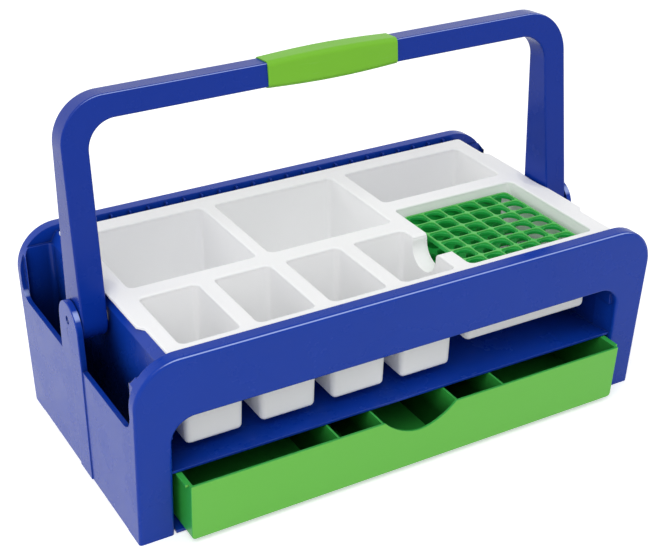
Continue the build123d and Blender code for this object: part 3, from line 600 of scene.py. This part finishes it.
# ---- studio ---------------------------------------------------------------------------
def seen_directly(tree):
    """1 for rays that show the background itself: camera, mirror and glass rays."""
    path = tree.nodes.new("ShaderNodeLightPath")
    first = add_node(tree, "ShaderNodeMath", operation="MAXIMUM")
    tree.links.new(path.outputs["Is Camera Ray"], first.inputs[0])
    tree.links.new(path.outputs["Is Glossy Ray"], first.inputs[1])
    both = add_node(tree, "ShaderNodeMath", operation="MAXIMUM")
    tree.links.new(first.outputs[0], both.inputs[0])
    tree.links.new(path.outputs["Is Transmission Ray"], both.inputs[1])
    return both.outputs[0]


def make_floor(given):
    half = given.floor_size / 2
    mesh = bpy.data.meshes.new("floor")
    mesh.from_pydata([(-half, -half, 0), (half, -half, 0), (half, half, 0), (-half, half, 0)],
                     [], [(0, 1, 2, 3)])
    floor = bpy.data.objects.new("floor", mesh)
    bpy.context.scene.collection.objects.link(floor)
    material = bpy.data.materials.new("floor_pale")
    material.use_nodes = True
    tree = material.node_tree
    tree.nodes.clear()
    out = tree.nodes.new("ShaderNodeOutputMaterial")
    matt = tree.nodes.new("ShaderNodeBsdfDiffuse")
    matt.inputs["Color"].default_value = (given.floor_tone,) * 3 + (1.0,)
    lift = tree.nodes.new("ShaderNodeEmission")
    strength = add_node(tree, "ShaderNodeMath", operation="MULTIPLY")
    strength.inputs[1].default_value = FLOOR_LIFT
    tree.links.new(seen_directly(tree), strength.inputs[0])
    tree.links.new(strength.outputs[0], lift.inputs["Strength"])
    both = tree.nodes.new("ShaderNodeAddShader")
    tree.links.new(matt.outputs[0], both.inputs[0])
    tree.links.new(lift.outputs[0], both.inputs[1])
    tree.links.new(both.outputs[0], out.inputs["Surface"])
    mesh.materials.append(material)


def make_world(given):
    world = bpy.data.worlds.new("studio_room")
    bpy.context.scene.world = world
    world.use_nodes = True
    tree = world.node_tree
    sky = tree.nodes["Background"]
    level = tree.nodes.new("ShaderNodeMapRange")
    level.inputs["To Min"].default_value = given.room_light
    level.inputs["To Max"].default_value = 1.0
    tree.links.new(seen_directly(tree), level.inputs["Value"])
    tree.links.new(level.outputs["Result"], sky.inputs["Strength"])
    sky.inputs["Color"].default_value = (1.0, 1.0, 1.0, 1.0)


def make_lamp(name, power, size, place, aim):
    lamp = bpy.data.lights.new(name, "AREA")
    lamp.energy = power
    lamp.shape = "RECTANGLE"
    lamp.size, lamp.size_y = size
    holder = bpy.data.objects.new(name, lamp)
    bpy.context.scene.collection.objects.link(holder)
    holder.location = place
    holder.rotation_mode = "QUATERNION"
    holder.rotation_quaternion = (Vector(aim) - Vector(place)).to_track_quat("-Z", "Y")


def make_camera(given):
    azimuth, elevation = math.radians(VIEW_AZIMUTH), math.radians(VIEW_ELEVATION)
    back = Vector((math.sin(azimuth) * math.cos(elevation),
                   -math.cos(azimuth) * math.cos(elevation), math.sin(elevation)))
    data = bpy.data.cameras.new("product_view")
    data.sensor_width = SENSOR_WIDTH
    data.lens = given.lens
    data.shift_x, data.shift_y = SHIFT_X, SHIFT_Y
    data.clip_start, data.clip_end = 0.05, 50.0
    camera = bpy.data.objects.new("product_view", data)
    bpy.context.scene.collection.objects.link(camera)
    camera.location = Vector(VIEW_TARGET) + back * VIEW_DISTANCE
    camera.rotation_mode = "QUATERNION"
    turn = Quaternion((0, 0, 1), math.radians(VIEW_ROLL))
    camera.rotation_quaternion = (-back).to_track_quat("-Z", "Y") @ turn
    bpy.context.scene.camera = camera


class ORGANIZER_OT_studio(bpy.types.Operator):
    """Pale floor, soft lamps and the camera of the product view"""
    bl_idname = "organizer.studio"
    bl_label = "Studio"
    bl_options = {"REGISTER", "UNDO"}

    def execute(self, context):
        given = context.scene.organizer_studio
        make_floor(given)
        make_world(given)
        make_lamp("key_softbox", given.key_power, *KEY_LAMP)
        make_lamp("side_softbox", given.side_power, *SIDE_LAMP)
        make_lamp("edge_softbox", given.edge_power, *EDGE_LAMP)
        make_camera(given)
        context.scene.view_settings.view_transform = "Standard"
        return {"FINISHED"}


class ORGANIZER_PT_panel(bpy.types.Panel):
    """Sizes, colours and steps of the organizer"""
    bl_label = "Tube carry organizer"
    bl_idname = "ORGANIZER_PT_panel"
    bl_space_type = "VIEW_3D"
    bl_region_type = "UI"
    bl_category = "Organizer"

    def draw(self, context):
        for group in (context.scene.organizer_plastics, context.scene.organizer_studio):
            box = self.layout.box()
            for name in group.__annotations__:
                box.prop(group, name)
        for step in STEPS:
            self.layout.operator(step.bl_idname)


STEPS = (
    ORGANIZER_OT_studio,
    ORGANIZER_OT_carry_body,
    ORGANIZER_OT_underside,
    ORGANIZER_OT_pivots,
    ORGANIZER_OT_bow_handle,
    ORGANIZER_OT_grip,
    ORGANIZER_OT_insert,
    ORGANIZER_OT_rack,
    ORGANIZER_OT_drawer,
    ORGANIZER_OT_dividers,
)
CLASSES = (PlasticSettings, StudioSettings) + STEPS + (ORGANIZER_PT_panel,)


def register():
    for entry in CLASSES:
        bpy.utils.register_class(entry)
    bpy.types.Scene.organizer_plastics = PointerProperty(type=PlasticSettings)
    bpy.types.Scene.organizer_studio = PointerProperty(type=StudioSettings)


def unregister():
    del bpy.types.Scene.organizer_studio
    del bpy.types.Scene.organizer_plastics
    for entry in reversed(CLASSES):
        bpy.utils.unregister_class(entry)


def main():
    register()
    bpy.ops.organizer.studio()
    bpy.ops.organizer.carry_body()
    bpy.ops.organizer.underside()
    bpy.ops.organizer.pivots()
    bpy.ops.organizer.bow_handle()
    bpy.ops.organizer.grip()
    bpy.ops.organizer.insert_tray()
    bpy.ops.organizer.tube_rack()
    bpy.ops.organizer.drawer()
    bpy.ops.organizer.dividers()


if __name__ == "__main__":
    main()
